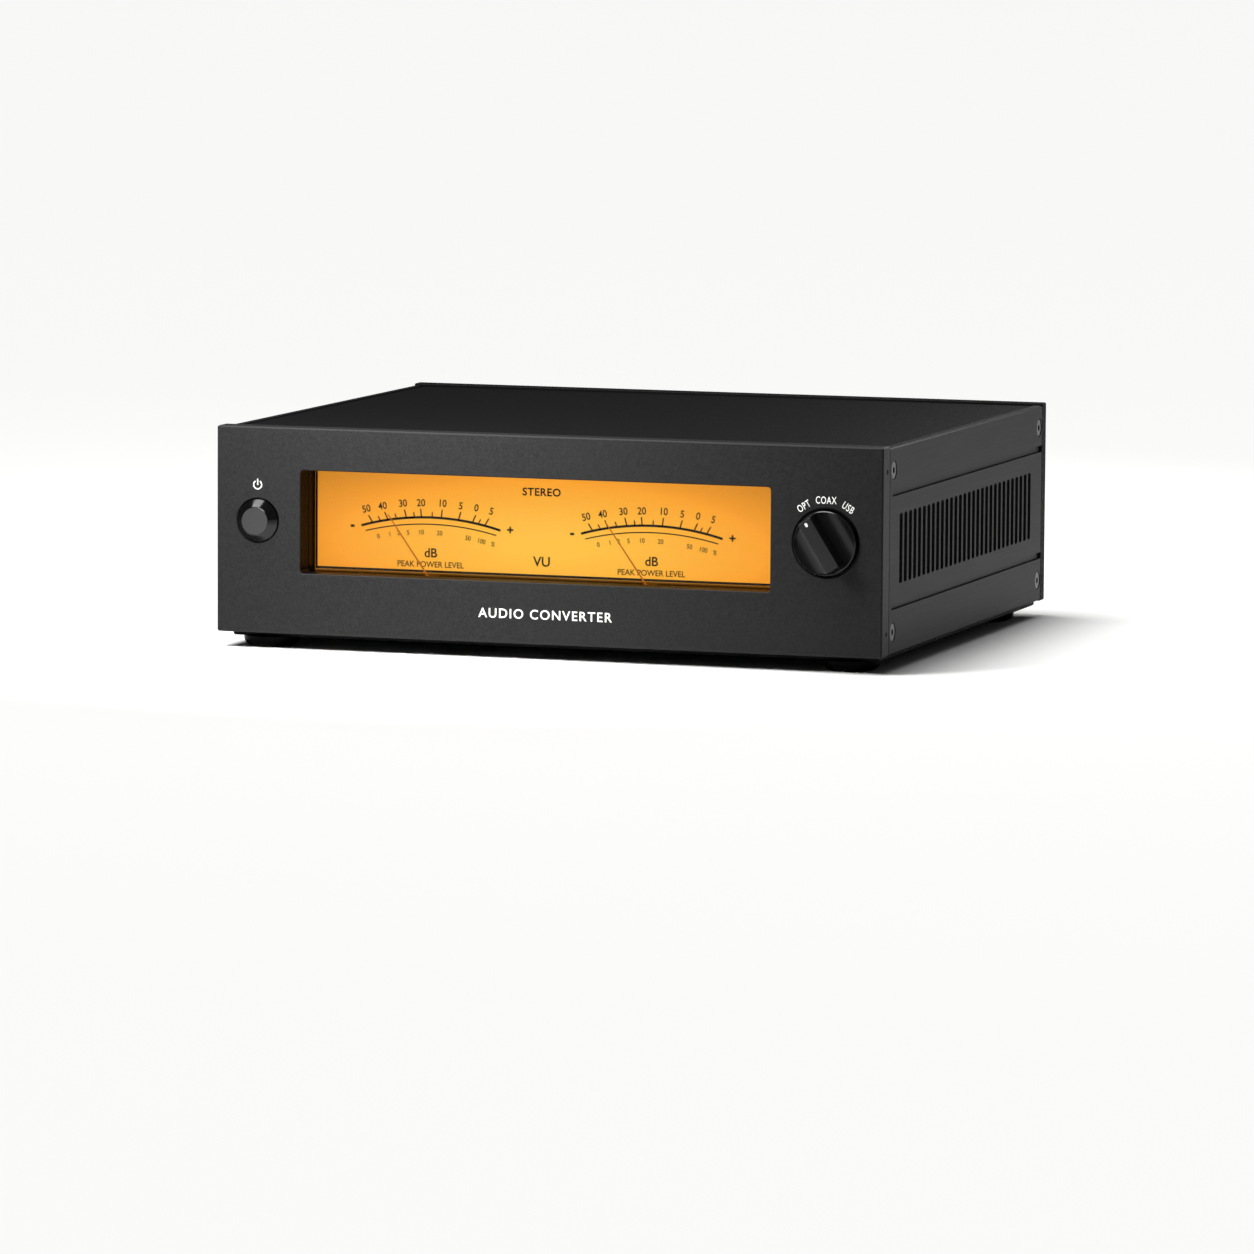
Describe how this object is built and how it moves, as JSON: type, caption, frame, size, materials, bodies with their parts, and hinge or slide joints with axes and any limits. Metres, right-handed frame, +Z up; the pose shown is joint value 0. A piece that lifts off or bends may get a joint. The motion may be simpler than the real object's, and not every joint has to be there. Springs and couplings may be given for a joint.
{
  "type": "desktop digital-to-analogue converter",
  "caption": "Half-width desktop audio converter: thick front plate, lit twin-needle meter window, push button, rotary input selector, slotted sides and round feet.",
  "frame": {"origin": "on the plane that the feet stand on, under the middle of the whole width and depth", "axes": "+X to the right seen from the front, +Y from the front panel towards the sockets at the back, +Z up"},
  "size_m": [0.245, 0.23, 0.0788],
  "materials": {
    "satin_black_aluminium": "fine bead-blasted, anodised satin black",
    "black_aluminium": "extruded, anodised black",
    "gloss_black_aluminium": "turned bevel, satin face, anodised black",
    "knob_black_aluminium": "machined, anodised black",
    "raw_aluminium": "milled, bare",
    "black_steel": "fine powder coat, black",
    "plated_steel": "zinc plated sheet",
    "black_screw_steel": "black oxide",
    "bright_screw_steel": "nickel plated",
    "brass": "turned, nickel-free",
    "rubber": "moulded, glossy black",
    "clear_acrylic": "clear, polished",
    "gloss_black_plastic": "moulded, glossy black",
    "black_plastic": "moulded, matt black",
    "grey_plastic": "flat cable sheath",
    "dial": "translucent amber, lit from behind",
    "needle_orange": "painted, fine",
    "white_paint": "filled with white enamel",
    "circuit_board": "solder mask over glass laminate",
    "resistor_ceramic": "coated chip resistors",
    "capacitor_sleeve": "shrunk sleeve over an aluminium can",
    "transformer_tape": "wound polyester tape",
    "contact_metal": "nickel plated",
    "gold_contact": "gold plated"
  },
  "bodies": {
    "case": {"audio_chips": "black_plastic", "base_plate": "black_steel", "base_screws": "black_screw_steel", "board_screws": "bright_screw_steel", "board_spacers": "brass", "button_board": "circuit_board", "button_guide": "black_plastic", "corner_blocks": "raw_aluminium", "dial_plate": "dial", "foot_front_left": "rubber", "foot_front_right": "rubber", "foot_rear_left": "rubber", "foot_rear_right": "rubber", "foot_screws": "bright_screw_steel", "front_panel": "satin_black_aluminium", "inlet_blades": "contact_metal", "jack_insulators": "black_plastic", "ladder_board": "circuit_board", "ladder_resistors": "resistor_ceramic", "lamp_board": "circuit_board", "light_guide": "clear_acrylic", "main_board": "circuit_board", "mains_inlet": "black_plastic", "meter_housing": "gloss_black_plastic", "meter_left": "black_plastic", "meter_right": "black_plastic", "optical_socket": "black_plastic", "panel_screws": "bright_screw_steel", "panel_set_screws": "black_screw_steel", "phono_jacks": "gold_contact", "power_switch": "black_plastic", "rear_panel": "black_steel", "rear_screws": "black_screw_steel", "ribbon_cable": "grey_plastic", "rocker_housing": "black_plastic", "selector_nut": "bright_screw_steel", "selector_switch": "black_plastic", "side_panel_left": "black_aluminium", "side_panel_right": "black_aluminium", "side_screws": "black_screw_steel", "sub_panel": "plated_steel", "supply_board": "circuit_board", "supply_capacitors": "capacitor_sleeve", "supply_heat_sink": "black_aluminium", "top_cover": "black_steel", "transformer": "transformer_tape", "transformer_clamp": "bright_screw_steel", "transformer_pad": "rubber", "usb_socket": "contact_metal", "window_lens": "clear_acrylic", "xlr_contacts": "gold_contact", "xlr_sockets": "black_plastic"},
    "power_button": {"power_button": "gloss_black_aluminium"},
    "selector": {"selector_knob": "knob_black_aluminium", "knob_pointer": "white_paint", "selector_shaft": "bright_screw_steel"},
    "needle_left": {"needle_left": "needle_orange"},
    "needle_right": {"needle_right": "needle_orange"},
    "mains_rocker": {"mains_rocker": "black_plastic"},
    "optical_shutter": {"optical_shutter": "black_plastic"}
  },
  "joints": [
    {"name": "power_press", "type": "slide", "parent": "case", "child": "power_button", "axis": [0, 1, 0], "range_m": [0, 0.0012], "stiffness_N_per_m": 400, "springref_m": -0.0005},
    {"name": "selector_turn", "type": "hinge", "parent": "case", "child": "selector", "pos_m": [0.102, -0.106, 0.0452], "axis": [0, 1, 0], "range_deg": [0, 64]},
    {"name": "needle_left_swing", "type": "hinge", "parent": "case", "child": "needle_left", "pos_m": [-0.0475, -0.0916, 0.0254], "axis": [0, 1, 0], "range_deg": [-12, 84], "stiffness_Nm_per_rad": 0.0004},
    {"name": "needle_right_swing", "type": "hinge", "parent": "case", "child": "needle_right", "pos_m": [0.0334, -0.0916, 0.0254], "axis": [0, 1, 0], "range_deg": [-12, 84], "stiffness_Nm_per_rad": 0.0004},
    {"name": "mains_rock", "type": "hinge", "parent": "case", "child": "mains_rocker", "pos_m": [0.088, 0.103, 0.0598], "axis": [1, 0, 0], "range_deg": [-16, 0]},
    {"name": "optical_shutter_open", "type": "hinge", "parent": "case", "child": "optical_shutter", "pos_m": [-0.052, 0.1048, 0.059], "axis": [-1, 0, 0], "range_deg": [0, 80], "stiffness_Nm_per_rad": 0.0005}
  ]
}
